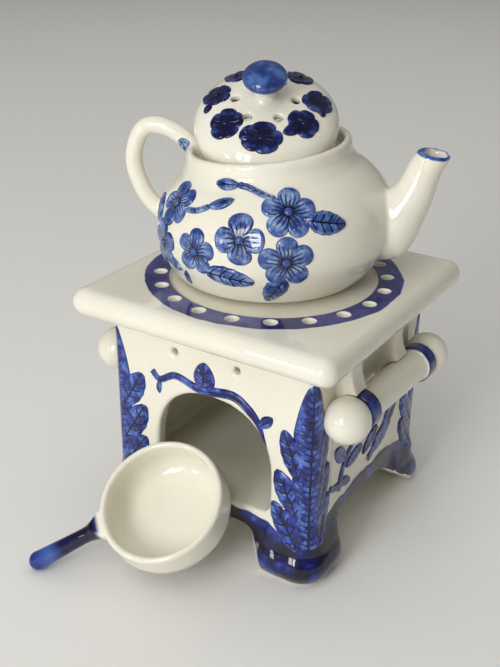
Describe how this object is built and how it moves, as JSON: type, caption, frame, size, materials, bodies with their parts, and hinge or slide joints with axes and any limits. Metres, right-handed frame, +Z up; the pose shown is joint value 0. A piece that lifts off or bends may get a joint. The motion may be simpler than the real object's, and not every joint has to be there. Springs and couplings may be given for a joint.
{
  "type": "aroma lamp",
  "caption": "Glazed pottery aroma lamp: a square stove with an arched door for a tea light, side rails, and a small teapot, pierced lid and pan that lift off.",
  "frame": {"origin": "on the table, under the middle of the whole set's box", "axes": "+Z up; -Y out of the door, towards the pan; +X towards the teapot's spout"},
  "size_m": [0.124, 0.1516, 0.1815],
  "materials": {
    "ivory_glaze": "glossy clear glaze over ivory clay, with cobalt painting",
    "cobalt_glaze": "glossy cobalt blue glaze, darker where it pools"
  },
  "bodies": {
    "stove": {"stove_walls": "ivory_glaze", "stove_floor": "ivory_glaze", "top_slab": "ivory_glaze", "rail_left": "ivory_glaze", "rail_right": "ivory_glaze", "rail_bracket_left_front": "ivory_glaze", "rail_bracket_left_back": "ivory_glaze", "rail_bracket_right_front": "ivory_glaze", "rail_bracket_right_back": "ivory_glaze"},
    "pot": {"pot_body": "ivory_glaze", "pot_spout": "ivory_glaze", "pot_handle": "ivory_glaze"},
    "lid": {"lid_dome": "ivory_glaze", "lid_knob": "cobalt_glaze"},
    "pan": {"pan_bowl": "ivory_glaze", "pan_handle": "cobalt_glaze"}
  },
  "joints": [
    {"name": "pot_lift", "type": "slide", "parent": "stove", "child": "pot", "axis": [0, 0, 1], "range_m": [0, 0.06]},
    {"name": "lid_lift", "type": "slide", "parent": "pot", "child": "lid", "axis": [-0.0912, -0.0579, 0.9942], "range_m": [0, 0.045]},
    {"name": "pan_pull", "type": "slide", "parent": "stove", "child": "pan", "axis": [0, -0.7071, 0.7071], "range_m": [0, 0.08]}
  ]
}
